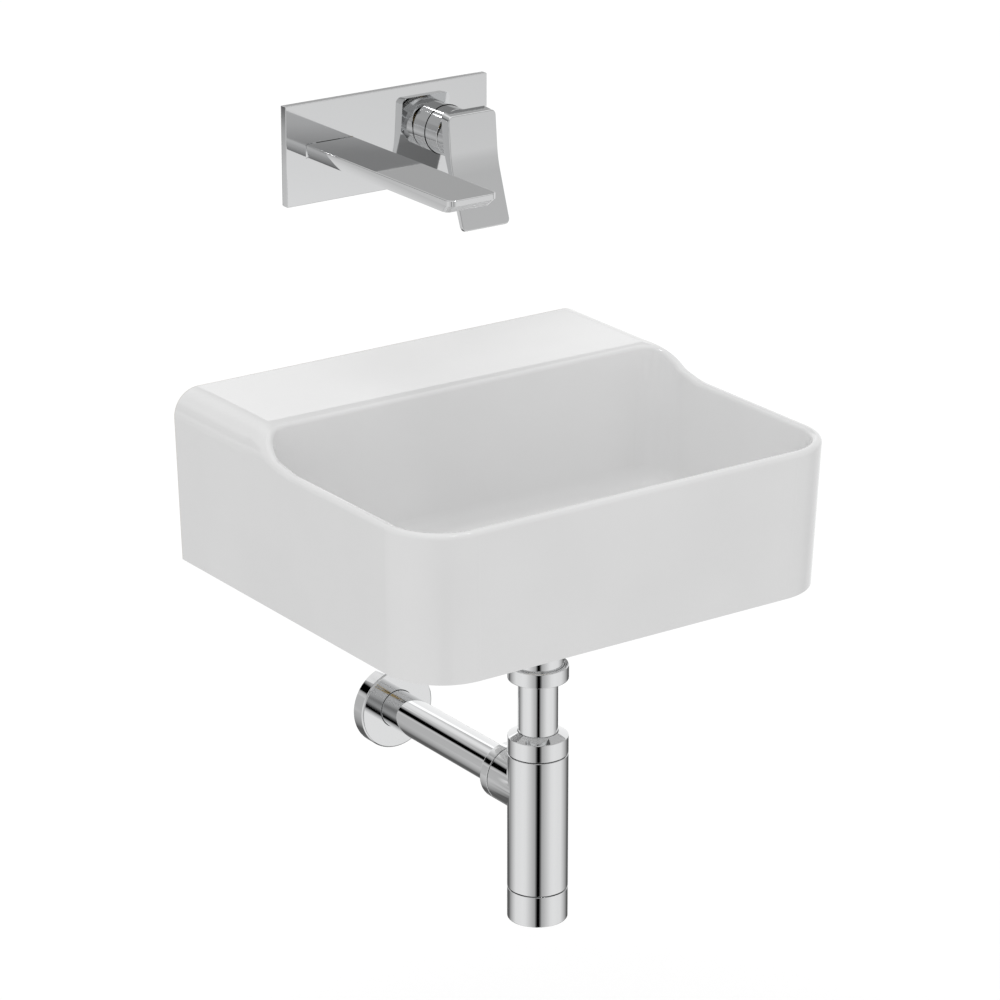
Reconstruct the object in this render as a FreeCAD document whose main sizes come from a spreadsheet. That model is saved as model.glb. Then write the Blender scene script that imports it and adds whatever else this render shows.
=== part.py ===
import FreeCAD, Part
import math
import os
import re
import Sketcher
from FreeCAD import Placement, Rotation, Vector

# Wall hung hand basin with its waste, bottle trap and wall mixer tap. Millimetres.
# The origin is on the finished wall, halfway between the two basin studs.
# X runs along the wall, +Y goes into the wall and +Z is up, so the basin stands out towards -Y.

SIZES = {
    # basin
    "basin_width": 401.2,         # at the deck's top; the sides lean in below
    "basin_depth": 351,
    "basin_height": 143,
    "stud_drop": 65,             # studs below the deck's top
    "stud_spacing": 200,
    "front_corner": 50,
    "side_lean": 4.7,            # each side leans in by this at the underside
    "front_lean": 5.1,
    "deck_depth": 117,           # wall to the bowl's back wall
    "slope_start": 106,          # the deck starts to fall here
    "slope_end": 174,            # and reaches the rim here
    "rim_drop": 22,
    "deck_edge": 22,             # rounding of the deck's ends
    "rim_edge": 4,               # rounding of the thin rim
    "rim_width": 9,
    "bowl_depth": 120,           # deck's top to the bowl's floor
    "bowl_lean": 15,             # each bowl wall leans in by this at the floor
    "bowl_back_corner": 26,
    "bowl_floor_round": 25,
    "drain_from_wall": 216,
    "dish_radius": 54,
    "dish_fall": 2,
    "recess_radius": 33.5,
    "recess_depth": 3,
    "drain_hole": 23,
    "clay_floor": 14,
    "clay_wall": 12,
    "clay_deck": 14,
    "boss_radius": 42,
    "boss_proud": 3,
    "cavity_round": 8,
    "cut_margin": 10,
    # basin studs
    "stud_radius": 5,
    "stud_thread": 4.6,          # machine thread on the room side, at its mean size
    "stud_in_wall": 60,
    "stud_tip": 8,
    "stud_hole": 8,
    "bush_gap": 0.2,
    "bush_flange": 14,
    "bush_flange_thick": 3,
    "stud_washer_radius": 12,
    "stud_washer_thick": 2,
    "stud_nut_flats": 17,
    "stud_nut_high": 8,
    "stud_spare": 6,
    "stud_fit": 0.1,
    # waste
    "flange_radius": 32,
    "flange_thick": 2.2,
    "waste_seal_thick": 1.4,
    "tail_radius": 20.9,
    "tail_bore": 17.6,
    "tail_top_flare": 20,
    "flare_depth": 6,
    "waste_fit": 0.3,
    "under_seal_radius": 34,
    "under_seal_thick": 5,
    "slip_washer_thick": 1.5,
    "backnut_flats": 52,
    "backnut_high": 10,
    "bridge_depth": 34,          # the cross bridge below the flange
    "bridge_thick": 8,
    "bridge_width": 4,
    "bridge_hub": 7,
    "click_radius": 4.8,
    "click_above": 20,
    "click_wall": 1.4,
    "plug_radius": 28,
    "plug_edge_thick": 2.5,
    "plug_crown": 3,
    "plug_travel": 8,
    "plug_seat_gap": 0.4,
    "plug_seal_radius": 23.4,
    "plug_seal_thick": 2.5,
    "plug_seal_inner": 17,
    "plug_boss": 6,
    "spindle_radius": 3.2,
    "spindle_fit": 0.1,
    "spring_thick": 0.9,
    # bottle trap
    "nut_radius": 24.5,
    "nut_top_drop": 206.2,       # nut's top edge below the deck's top
    "nut_high": 12.6,
    "nut_floor": 2.5,
    "tail_engage": 5.6,
    "inlet_washer_thick": 3,
    "tube_radius": 16,
    "tube_wall": 1,
    "tube_fit": 0.3,
    "tube_flange_thick": 1.5,
    "cap_top_drop": 263.7,
    "cap_rise": 3.7,             # height of the cap's shallow cone
    "cap_joint_drop": 282.2,
    "cap_wall": 1.6,
    "joint_gap": 0.8,
    "thread_fit": 0.3,
    "neck_step": 1.9,
    "cap_neck": 9,
    "cap_seal_high": 3,
    "cap_ring_high": 1.2,
    "bottle_wall": 2,
    "cup_joint_drop": 398.9,
    "cup_floor_drop": 426.4,
    "cup_wall": 2.5,
    "cup_neck": 9,
    "cup_seal_high": 2.4,
    "dip_end_drop": 404,
    "arm_drop": 315,
    "arm_radius": 24,
    "arm_joint": 179.5,          # joint between branch and nut, from the wall
    "arm_nut_end": 168,
    "arm_nut_floor": 2.5,
    "arm_neck": 6,
    "arm_neck_step": 2.2,
    "outlet_from_wall": 190,
    "outlet_in_wall": 9,
    "tube_mark": 0.6,            # turned mark at the wall's face, as far as the tube goes in
    "wall_flange_radius": 35,
    "wall_flange_thick": 13.6,
    "wall_flange_wall": 1.5,
    "wall_flange_edge": 1.2,
    "grip_ring_high": 2.4,
    "grip_ring_wide": 2.6,
    "cup_edge": 0.6,
    # tap
    "tap_axis": 175,             # above the deck's top
    "spout_side": 55.5,          # spout and lever axes, each side of the middle
    "plate_width": 192,
    "plate_high": 82,
    "plate_front": 7.7,
    "plate_wall": 2,
    "plate_edge": 0.5,
    "gasket_thick": 1,
    "gasket_width": 6,
    "spout_width": 44,
    "spout_reach": 209,
    "spout_rise": 8,             # spout's flat top above the tap's axis
    "spout_thick": 11,
    "spout_lip": 4.6,
    "spout_hull_inset": 1.6,
    "spout_nose_length": 8,
    "spout_corner": 6,
    "spout_edge": 0.7,
    "spout_fit": 0.3,
    "spout_boss": 14,
    "spout_root": 10,
    "channel_width": 26,
    "channel_high": 5,
    "aerator_from_wall": 189,
    "aerator_radius": 11,
    "aerator_high": 7,
    "aerator_wall": 1.4,
    "aerator_show": 0.5,
    "aerator_slots": 1.4,        # slot spacing
    "aerator_seal_thick": 1.5,
    "sleeve_radius": 20.3,
    "sleeve_wall": 1.2,
    "sleeve_front": 24.5,
    "sleeve_back": 5,            # behind the wall's face
    "sleeve_lip": 2.3,
    "ring_gap": 0.5,
    "ring_width": 1.9,
    "ring_depth": 1.4,
    "hub_gap": 0.9,
    "hub_bore": 16.4,
    "pivot_out": 16,             # lever pivot in front of the wall
    "lift_limit": 20,
    "turn_limit": 45,
    "lever_width": 46,
    "lever_corner": 4.5,
    "lever_edge": 1,
    "lever_top": 21.6,
    "lever_bottom": 68.3,
    "lever_bend": 17.5,          # height of the bend below the tap's axis
    "lever_back_bend": 6.7,
    "lever_top_out": 45.5,
    "lever_bend_out": 49,
    "lever_tip_out": 66.1,
    "lever_tip_back": 62.8,
    "lever_tip_drop": 1.1,
    "lever_back_out": 35,
    "lever_back_bend_out": 38.3,
    "lever_bend_round": 80,
    "socket_radius": 7.5,
    "socket_out": 26.5,
    "spindle_side": 7,
    "spindle_end_out": 37,
    "spindle_ball": 3.2,
    "ball_out": 6.6,
    "fit_gap": 0.1,
    "grub_radius": 2,
    "grub_long": 7,
    "grub_out": 30,
    "pin_radius": 1.5,
    "pin_fit": 0.05,
    "carrier_radius": 10.7,
    "carrier_front": 20,
    "carrier_back": 9,
    "disc_gap": 0.1,
    "moving_disc_radius": 9.4,
    "moving_disc_thick": 4.6,
    "disc_socket": 3.5,
    "fixed_disc_radius": 14,
    "fixed_disc_thick": 4,
    "port_radius": 2.6,
    "port_spread": 6,
    "housing_radius": 17.4,
    "housing_neck": 13.6,
    "housing_shoulder": 10.5,
    "housing_front": 19,
    "base_back": 14,
    "seal_thick": 1,
    "seal_radius": 4.2,
    "cartridge_nut_bore": 13.8,
    "cartridge_nut_front": 18,
    "neck_radius": 18.9,
    "neck_front": 14,
    "chamber_radius": 23,
    "chamber_front": 8,
    "chamber_back": 32,
    "chamber_fit": 0.1,
    "inlet_spread": 24,
    "inlet_radius": 12.5,
    "inlet_bore": 9.5,
    "inlet_thread": 15,
    "inlet_drop": 46,
    "inlet_out": 18,             # inlet axes behind the wall's face
    "passage_out": 22,           # and the passages between them, deeper in
    "feed_radius": 5,
    "cross_tube": 8,
    "outlet_boss": 12.5,
    "outlet_boss_front": 13,
    "outlet_boss_back": 29,
    "nipple_radius": 10.4,
    "nipple_bore": 7,
    "nipple_front": 1,
    "nipple_back": 15,
    "nipple_collar": 12.5,
    "nipple_seal_thick": 1.2,
    "bracket_width": 184,
    "bracket_high": 74,
    "bracket_side": 30,          # middle of the bracket beside the middle of the basin
    "bracket_drop": 16,          # and below the tap's axis
    "bracket_thick": 3,
    "bracket_holes_x": 172,
    "bracket_holes_z": 28,
    "bracket_holes_drop": 31,
    "bracket_hole": 2.75,
    "bracket_corner": 6,
    "screw_spread": 15,          # the two body screws above and below the cartridge's axis
    "screw_radius": 2.5,
    "screw_head": 4.5,
    "screw_head_high": 2.6,
    "screw_long": 8,
}

doc = FreeCAD.newDocument("wall_basin")
sheet = doc.addObject("Spreadsheet::Sheet", "sizes")
for row, (name, size) in enumerate(SIZES.items(), start=1):
    sheet.set("A%d" % row, name)
    sheet.set("B%d" % row, str(size))
    sheet.setAlias("B%d" % row, name)
doc.recompute()

FUNCTIONS = ("tan", "sin", "cos", "sqrt")
WALL_OUT = Rotation(Vector(1, 0, 0), 90)      # local z points out of the wall, local y up
pieces = []


def value(text):
    """A size, or a sum of sizes, as a number."""
    return float(sheet.evalExpression(text))


def bound(text):
    """The same sum, written for a property of another object."""
    words = re.compile(r"[a-z][a-z_]*[a-z]")
    return words.sub(lambda m: m.group(0) if m.group(0) in FUNCTIONS else "sizes." + m.group(0), text)


def bind(thing, **rules):
    for name, text in rules.items():
        thing.setExpression(name.replace("__", "."), bound(text))


def place(thing, x="0", y="0", z="0", turn=Rotation()):
    thing.Placement = Placement(Vector(value(x), value(y), value(z)), turn)
    bind(thing, Placement__Base__x=x, Placement__Base__y=y, Placement__Base__z=z)


def keep(thing, label):
    """Marks an object as a finished piece, whose label names its file."""
    thing.Label = label
    pieces.append(thing)
    return thing


def origin_plane(body, role):
    for feature in body.Origin.OriginFeatures:
        if feature.Role == role:
            return feature
    raise ValueError(role)


def pin(sketch, kind, piece, point, text):
    """Ties one point of a sketch to a sum of sizes, measured from the sketch's origin."""
    number = sketch.addConstraint(Sketcher.Constraint(kind, -1, 1, piece, point, value(text)))
    sketch.setExpression("Constraints[%d]" % number, bound(text))


def draw(sketch, points, first=0):
    """A closed outline through points given as pairs of sums of sizes."""
    spots = [Vector(value(across), value(up), 0) for across, up in points]
    count = len(spots)
    for index, spot in enumerate(spots):
        sketch.addGeometry(Part.LineSegment(spot, spots[(index + 1) % count]), False)
    for index in range(count):
        following = first + (index + 1) % count
        sketch.addConstraint(Sketcher.Constraint("Coincident", first + index, 2, following, 1))
    for index, (across, up) in enumerate(points, start=first):
        pin(sketch, "DistanceX", index, 1, across)
        pin(sketch, "DistanceY", index, 1, up)


def draw_circle(sketch, across, up, radius):
    index = len(sketch.Geometry)
    middle = Vector(value(across), value(up), 0)
    sketch.addGeometry(Part.Circle(middle, Vector(0, 0, 1), value(radius)), False)
    number = sketch.addConstraint(Sketcher.Constraint("Radius", index, value(radius)))
    sketch.setExpression("Constraints[%d]" % number, bound(radius))
    pin(sketch, "DistanceX", index, 3, across)
    pin(sketch, "DistanceY", index, 3, up)


def new_sketch(body, role, level=None):
    sketch = body.newObject("Sketcher::SketchObject", body.Name + "_sketch")
    sketch.AttachmentSupport = [(origin_plane(body, role), "")]
    sketch.MapMode = "FlatFace"
    if level:
        sketch.AttachmentOffset = Placement(Vector(0, 0, value(level)), Rotation())
        bind(sketch, AttachmentOffset__Base__z=level)
    return sketch


def new_body(name):
    return doc.addObject("PartDesign::Body", name)


def revolve(body, points, cut=False):
    """A ring or cut turned about the body's own Z axis from (radius, height) points."""
    sketch = new_sketch(body, "XZ_Plane")
    draw(sketch, points)
    kind = "PartDesign::Groove" if cut else "PartDesign::Revolution"
    turned = body.newObject(kind, body.Name + "_turned")
    turned.Profile = sketch
    turned.ReferenceAxis = (sketch, ["V_Axis"])
    turned.Angle = 360
    doc.recompute()
    return turned


def ring_points(inner, outer, low, high):
    return [(inner, low), (outer, low), (outer, high), (inner, high)]


def extrude(body, shapes, low, high, role="XY_Plane", cut=False):
    """Pads or pockets outlines and circles from one level of the plane's normal to another."""
    sketch = new_sketch(body, role, low)
    for shape in shapes:
        if len(shape) == 3:
            draw_circle(sketch, *shape)
        else:
            draw(sketch, shape, len(sketch.Geometry))
    feature = body.newObject("PartDesign::Pocket" if cut else "PartDesign::Pad", body.Name + "_step")
    feature.Profile = sketch
    feature.Type = "Length"
    feature.Reversed = cut
    before = body.Shape.Volume if cut else 0
    bind(feature, Length="%s - (%s)" % (high, low))
    doc.recompute()
    if cut and not body.Shape.Volume < before - 0.01:
        raise ValueError("%s: a pocket cut nothing" % body.Name)
    return feature


def box_points(left, right, low, high):
    return [(left, low), (right, low), (right, high), (left, high)]


def edges_of(shape, test):
    return ["Edge%d" % number for number, edge in enumerate(shape.Edges, start=1) if test(edge)]


def soften(body, test, radius, kind="PartDesign::Fillet"):
    """Rounds or bevels the edges of the body's last feature that pass the test."""
    base = body.Tip
    names = edges_of(base.Shape, test)
    if not names:
        raise ValueError("%s: no edge to soften" % body.Name)
    feature = body.newObject(kind, body.Name + "_edge")
    feature.Base = (base, names)
    bind(feature, **{"Radius" if kind.endswith("Fillet") else "Size": radius})
    doc.recompute()
    return feature


def runs_along(edge, axis):
    """True for a straight edge along 0 (X), 1 (Y) or 2 (Z)."""
    if not isinstance(edge.Curve, (Part.Line, Part.LineSegment)):
        return False
    direction = edge.tangentAt(edge.FirstParameter)
    return abs(direction[axis]) > 0.99


def at_level(edge, axis, level):
    box = edge.BoundBox
    low, high = ((box.XMin, box.XMax), (box.YMin, box.YMax), (box.ZMin, box.ZMax))[axis]
    return abs(low - level) < 0.01 and abs(high - level) < 0.01


def turned_piece(label, points, bevels=(), bevel_size=None):
    """A body of revolution; bevels are (radius, height) rings whose sharp edge is taken off."""
    body = new_body(label)
    revolve(body, points)
    if bevels:
        spots = [(value(radius), value(height)) for radius, height in bevels]

        def on_ring(edge):
            if not isinstance(edge.Curve, Part.Circle):
                return False
            return any(abs(edge.Curve.Radius - r) < 0.01 and at_level(edge, 2, z) for r, z in spots)

        soften(body, on_ring, bevel_size, "PartDesign::Chamfer")
    return keep(body, label)


def rod(name, radius, length, x, y, z, turn=Rotation()):
    """A cylinder from a point along its turned Z axis."""
    cylinder = doc.addObject("Part::Cylinder", name)
    bind(cylinder, Radius=radius, Height=length)
    place(cylinder, x, y, z, turn)
    return cylinder


def combine(kind, label, base, tools):
    """Base with tools fused to it or cut from it."""
    group = tools[0]
    if len(tools) > 1:
        group = doc.addObject("Part::MultiFuse", label + "_tools")
        group.Shapes = tools
    result = doc.addObject(kind, label)
    result.Base = base
    result.Tool = group
    doc.recompute()
    return result


def hexagon(flats):
    half = "(%s) / 2" % flats
    corner = "(%s) / sqrt(3)" % flats
    side = "(%s) / sqrt(3) / 2" % flats
    return [(corner, "0"), (side, half), ("-" + side, half),
            ("-" + corner, "0"), ("-" + side, "-" + half), (side, "-" + half)]


def make_basin():
    """The ceramic, shaped as its right half and mirrored: a leaning block, deck, rim and hollows."""
    top = value("stud_drop")
    rim = value("stud_drop - rim_drop")
    half = value("basin_width / 2")
    block = new_body("basin_block")
    upper = new_sketch(block, "XY_Plane", "stud_drop")
    draw(upper, box_points("0", "basin_width / 2", "-basin_depth", "cut_margin"))
    lower = new_sketch(block, "XY_Plane", "stud_drop - basin_height")
    draw(lower, box_points("0", "basin_width / 2 - side_lean", "-basin_depth + front_lean", "cut_margin"))
    loft = block.newObject("PartDesign::AdditiveLoft", "basin_loft")
    loft.Profile = upper
    loft.Sections = [lower]
    loft.Ruled = True
    doc.recompute()
    front = value("-basin_depth + front_lean")

    def front_upright(edge):
        box = edge.BoundBox
        return box.YMax < front + 0.01 and box.ZLength > 1 and box.XMin > 1

    soften(block, front_upright, "front_corner")
    cut_slope(block, half, top, rim)

    edges = doc.addObject("Part::Fillet", "basin_rounded")
    edges.Base = block
    edges.Edges = rim_roundings(block.Shape, top, rim)
    doc.recompute()

    bowl = make_bowl_space()
    hollow = combine("Part::Cut", "basin_hollow", edges, [bowl])
    inner = doc.addObject("Part::Fillet", "basin_inner_edge")
    inner.Base = hollow
    radius = value("rim_edge")
    border = value("rim_width") + radius
    chosen = []
    for number, edge in enumerate(hollow.Shape.Edges, start=1):
        box = edge.BoundBox
        across = box.XMax < half - radius and box.YMin > -value("basin_depth") + border - radius
        lengthwise = box.YMax < -value("deck_depth") + 1 and box.XMax > 1
        if box.ZMin > rim - 0.5 and across and lengthwise:
            chosen.append((number, radius, radius))
    inner.Edges = chosen
    doc.recompute()
    right = combine("Part::Cut", "basin_right", inner, make_under_spaces() + [make_wall_space()])
    left = doc.addObject("Part::Mirroring", "basin_left")
    left.Source = right
    left.Normal = Vector(1, 0, 0)
    whole = combine("Part::Fuse", "basin_body", right, [left])
    whole.Refine = True
    return keep(whole, "basin_body")


def cut_slope(block, half, top, rim):
    """Cuts the falling curve of the sides: two equal arcs between deck and rim."""
    start = value("slope_start")
    end = value("slope_end")
    run = end - start
    drop = top - rim
    radius = (run * run + drop * drop) / (4 * drop)
    lean = math.asin(run / 2 / radius)
    far = "-basin_depth - cut_margin"
    above = "stud_drop + cut_margin"
    spots = [("-slope_start", "stud_drop"), ("-(slope_start + slope_end) / 2", "stud_drop - rim_drop / 2"),
             ("-slope_end", "stud_drop - rim_drop"), (far, "stud_drop - rim_drop"), (far, above),
             ("-slope_start", above)]
    sketch = new_sketch(block, "YZ_Plane", "-basin_width")
    upright = Vector(0, 0, 1)
    upper = Part.Circle(Vector(-start, top - radius, 0), upright, radius)
    lower = Part.Circle(Vector(-end, rim + radius, 0), upright, radius)
    quarter = math.pi / 2
    sketch.addGeometry(Part.ArcOfCircle(upper, quarter, quarter + lean), False)
    sketch.addGeometry(Part.ArcOfCircle(lower, -quarter, -quarter + lean), False)
    corners = [Vector(value(across), value(up), 0) for across, up in spots[2:] + spots[:1]]
    for first, second in zip(corners, corners[1:]):
        sketch.addGeometry(Part.LineSegment(first, second), False)
    for joint in ((0, 2, 1, 2), (1, 1, 2, 1), (2, 2, 3, 1), (3, 2, 4, 1), (4, 2, 5, 1), (5, 2, 0, 1)):
        sketch.addConstraint(Sketcher.Constraint("Coincident", *joint))
    ends = ((0, 1), (0, 2), (1, 1), (3, 1), (4, 1), (5, 1))
    for (piece, end_number), (across, up) in zip(ends, spots):
        pin(sketch, "DistanceX", piece, end_number, across)
        pin(sketch, "DistanceY", piece, end_number, up)
    pin(sketch, "DistanceX", 0, 3, "-slope_start")
    pin(sketch, "DistanceX", 1, 3, "-slope_end")
    pocket = block.newObject("PartDesign::Pocket", "basin_slope")
    pocket.Profile = sketch
    pocket.Type = "Length"
    pocket.Reversed = True
    before = block.Shape.Volume
    bind(pocket, Length="basin_width * 2")
    doc.recompute()
    if not block.Shape.Volume < before - half:
        raise ValueError("the slope cut nothing")


def rim_roundings(shape, top, rim):
    """The outer top edge's rounding: wide along the deck's ends, thin along the rim, easing between."""
    wide = value("deck_edge")
    thin = value("rim_edge")

    def at_deck_line(box):
        return box.XLength > value("basin_width / 2") - 1 and box.YLength < 0.01

    def radius_at(height):
        return thin + (wide - thin) * (height - rim) / (top - rim)

    rows = []
    for number, edge in enumerate(shape.Edges, start=1):
        box = edge.BoundBox
        if box.ZMin < rim - 0.5 or box.YMin > -0.01 or box.XMax < 0.01 or at_deck_line(box):
            continue
        ends = (edge.valueAt(edge.FirstParameter), edge.valueAt(edge.LastParameter))
        front_end, wall_end = sorted(ends, key=lambda spot: spot.y)
        rows.append((number, radius_at(front_end.z), radius_at(wall_end.z)))
    return rows


def make_bowl_space():
    """The right half of the bowl's space: leaning walls, rounded corners and a rounded floor."""
    bowl = new_body("bowl_space")
    slant = "bowl_lean / bowl_depth"
    side = "basin_width / 2 - rim_width + rim_drop * %s" % slant
    front = "-basin_depth + rim_width - rim_drop * %s" % slant
    levels = (("stud_drop + cut_margin", "-cut_margin * " + slant), ("stud_drop - bowl_depth", "bowl_lean"))
    for level, inset in levels:
        sketch = new_sketch(bowl, "XY_Plane", level)
        draw(sketch, box_points("0", "%s - (%s)" % (side, inset),
                                "%s + %s" % (front, inset), "-deck_depth - (%s)" % inset))
    upper, lower = [item for item in bowl.Group if item.TypeId == "Sketcher::SketchObject"]
    loft = bowl.newObject("PartDesign::AdditiveLoft", "bowl_loft")
    loft.Profile = upper
    loft.Sections = [lower]
    loft.Ruled = True
    doc.recompute()
    split = -value("(deck_depth + basin_depth) / 2")

    def upright_at(back):
        def test(edge):
            box = edge.BoundBox
            return box.ZLength > 1 and box.XMin > 1 and (edge.CenterOfMass.y > split) == back
        return test

    soften(bowl, upright_at(True), "bowl_back_corner")
    soften(bowl, upright_at(False), "front_corner - rim_width")
    floor = value("stud_drop - bowl_depth")
    soften(bowl, lambda edge: at_level(edge, 2, floor) and edge.BoundBox.XMax > 1, "bowl_floor_round")
    return bowl


def make_under_spaces():
    """Hollow behind the bowl, recess under it, drain hole with its dish, and the two stud holes."""
    underside = "stud_drop - basin_height"
    recess_top = "stud_drop - bowl_depth - clay_floor"
    reach = "basin_width / 2 - clay_wall - side_lean"

    behind = new_body("space_behind_bowl")
    extrude(behind, [box_points("-(%s)" % reach, reach, "-deck_depth + clay_wall", "-clay_wall")],
            underside + " - cut_margin", "stud_drop - clay_deck")
    roof = value("stud_drop - clay_deck")
    soften(behind, lambda edge: runs_along(edge, 2) or at_level(edge, 2, roof), "cavity_round")

    under = new_body("space_under_bowl")
    extrude(under, [box_points("-(%s)" % reach, reach, "-basin_depth + front_lean + clay_wall",
                               "-deck_depth + clay_wall + cavity_round")],
            underside + " - cut_margin", recess_top)
    front = value("-basin_depth + front_lean + clay_wall")
    soften(under, lambda edge: runs_along(edge, 2) and at_level(edge, 1, front), "front_corner - clay_wall")

    boss = rod("drain_boss", "boss_radius", "boss_proud + cut_margin",
               "0", "-drain_from_wall", recess_top + " - boss_proud")
    ring = combine("Part::Cut", "space_round_boss", under, [boss])

    drain = new_body("drain_space")
    floor = "stud_drop - bowl_depth"
    seat = floor + " - dish_fall - recess_depth"
    revolve(drain, [("0", underside + " - cut_margin"), ("drain_hole", underside + " - cut_margin"),
                    ("drain_hole", seat), ("recess_radius", seat), ("recess_radius", floor + " - dish_fall"),
                    ("dish_radius", floor), ("dish_radius", floor + " + 1"), ("0", floor + " + 1")])
    place(drain, "0", "-drain_from_wall", "0")

    hole = rod("stud_hole_space", "stud_hole", "clay_wall * 3",
               "stud_spacing / 2", "clay_wall", "0", WALL_OUT)
    return [behind, ring, drain, hole]


def make_wall_space():
    """All that would lie behind the finished wall, so that the back is cut flat."""
    wall = doc.addObject("Part::Box", "wall_space")
    bind(wall, Length="basin_width", Width="2 * cut_margin", Height="2 * basin_height")
    place(wall, "-cut_margin", "0", "stud_drop - 1.5 * basin_height")
    return wall


def stud_pair(label, points, bevels=(), bevel_size=None):
    """Two equal turned pieces, one on each stud, kept in one node as separate solids."""
    halves = []
    for name, side in (("left", "-"), ("right", "")):
        body = turned_piece(label + "_" + name, points, bevels, bevel_size)
        pieces.remove(body)
        place(body, side + "stud_spacing / 2", "0", "0", WALL_OUT)
        halves.append(body)
    return pair_up(label, halves)


def pair_up(label, halves):
    pair = doc.addObject("Part::Compound", label)
    pair.Links = halves
    return keep(pair, label)


def make_studs():
    """Each stud passes the clay in a bush and is held by a washer and a nut in the hollow."""
    face = "clay_wall + bush_flange_thick"
    nut_start = face + " + stud_washer_thick"
    end = nut_start + " + stud_nut_high + stud_spare"
    stud_pair("wall_studs", [("0", "-stud_in_wall - stud_tip"), ("stud_radius", "-stud_in_wall"),
                             ("stud_radius", "0"), ("stud_thread", "0"), ("stud_thread", end), ("0", end)],
              [("stud_thread", end)], "stud_thread / 5")
    bore = "stud_thread + bush_gap"
    body = "stud_hole - bush_gap"
    stud_pair("stud_bushes", [(bore, "0"), (body, "0"), (body, "clay_wall"),
                              ("bush_flange", "clay_wall"), ("bush_flange", face), (bore, face)])
    stud_pair("stud_washers", ring_points(bore, "stud_washer_radius", face, nut_start))
    halves = []
    for name, side in (("left", "-"), ("right", "")):
        nut = new_body("stud_nut_" + name)
        extrude(nut, [hexagon("stud_nut_flats"), ("0", "0", "stud_thread + stud_fit")],
                nut_start, nut_start + " + stud_nut_high")
        place(nut, side + "stud_spacing / 2", "0", "0", WALL_OUT)
        halves.append(nut)
    pair_up("stud_nuts", halves)


def drop(name):
    """Height of something measured down from the deck's top."""
    return "stud_drop - " + name


def on_drain(body):
    place(body, "0", "-drain_from_wall", "0")
    return body


SEAT = "stud_drop - bowl_depth - dish_fall - recess_depth"
FLANGE_TOP = SEAT + " + waste_seal_thick + flange_thick"
TAIL_END = "stud_drop - nut_top_drop - tail_engage"


def make_waste():
    """Waste body through the clay, clamped between two seals by its backnut, with a cross bridge inside."""
    flange_low = SEAT + " + waste_seal_thick"
    shell = new_body("waste_shell")
    revolve(shell, [("tail_bore", TAIL_END), ("tail_radius", TAIL_END), ("tail_radius", flange_low),
                    ("flange_radius", flange_low), ("flange_radius", FLANGE_TOP),
                    ("tail_top_flare", FLANGE_TOP), ("tail_bore", FLANGE_TOP + " - flare_depth")])
    bridge_low = FLANGE_TOP + " - bridge_depth"
    bridge_high = bridge_low + " + bridge_thick"
    bridge = new_body("waste_bridge")
    arm = "tail_bore + waste_fit"
    for bar in (box_points("-(%s)" % arm, arm, "-bridge_width / 2", "bridge_width / 2"),
                box_points("-bridge_width / 2", "bridge_width / 2", "-(%s)" % arm, arm)):
        extrude(bridge, [bar], bridge_low, bridge_high)
    extrude(bridge, [("0", "0", "bridge_hub")], bridge_low, bridge_high)
    extrude(bridge, [("0", "0", "click_radius + fit_gap")], bridge_low, bridge_high + " + 1", cut=True)
    on_drain(shell)
    on_drain(bridge)
    keep(combine("Part::Fuse", "waste_body", shell, [bridge]), "waste_body")

    on_drain(turned_piece("waste_top_seal", ring_points("drain_hole", "flange_radius", SEAT, flange_low)))
    boss_face = "stud_drop - bowl_depth - clay_floor - boss_proud"
    seal_low = boss_face + " - under_seal_thick"
    washer_low = seal_low + " - slip_washer_thick"
    bore = "tail_radius + waste_fit"
    on_drain(turned_piece("waste_under_seal", ring_points(bore, "under_seal_radius", seal_low, boss_face),
                          [("under_seal_radius", seal_low)], "under_seal_thick / 4"))
    on_drain(turned_piece("waste_slip_washer", ring_points(
        bore, "under_seal_radius - 1", washer_low, seal_low)))
    nut = new_body("waste_backnut")
    extrude(nut, [hexagon("backnut_flats"), ("0", "0", bore)], washer_low + " - backnut_high", washer_low)
    on_drain(keep(nut, "waste_backnut"))


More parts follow.
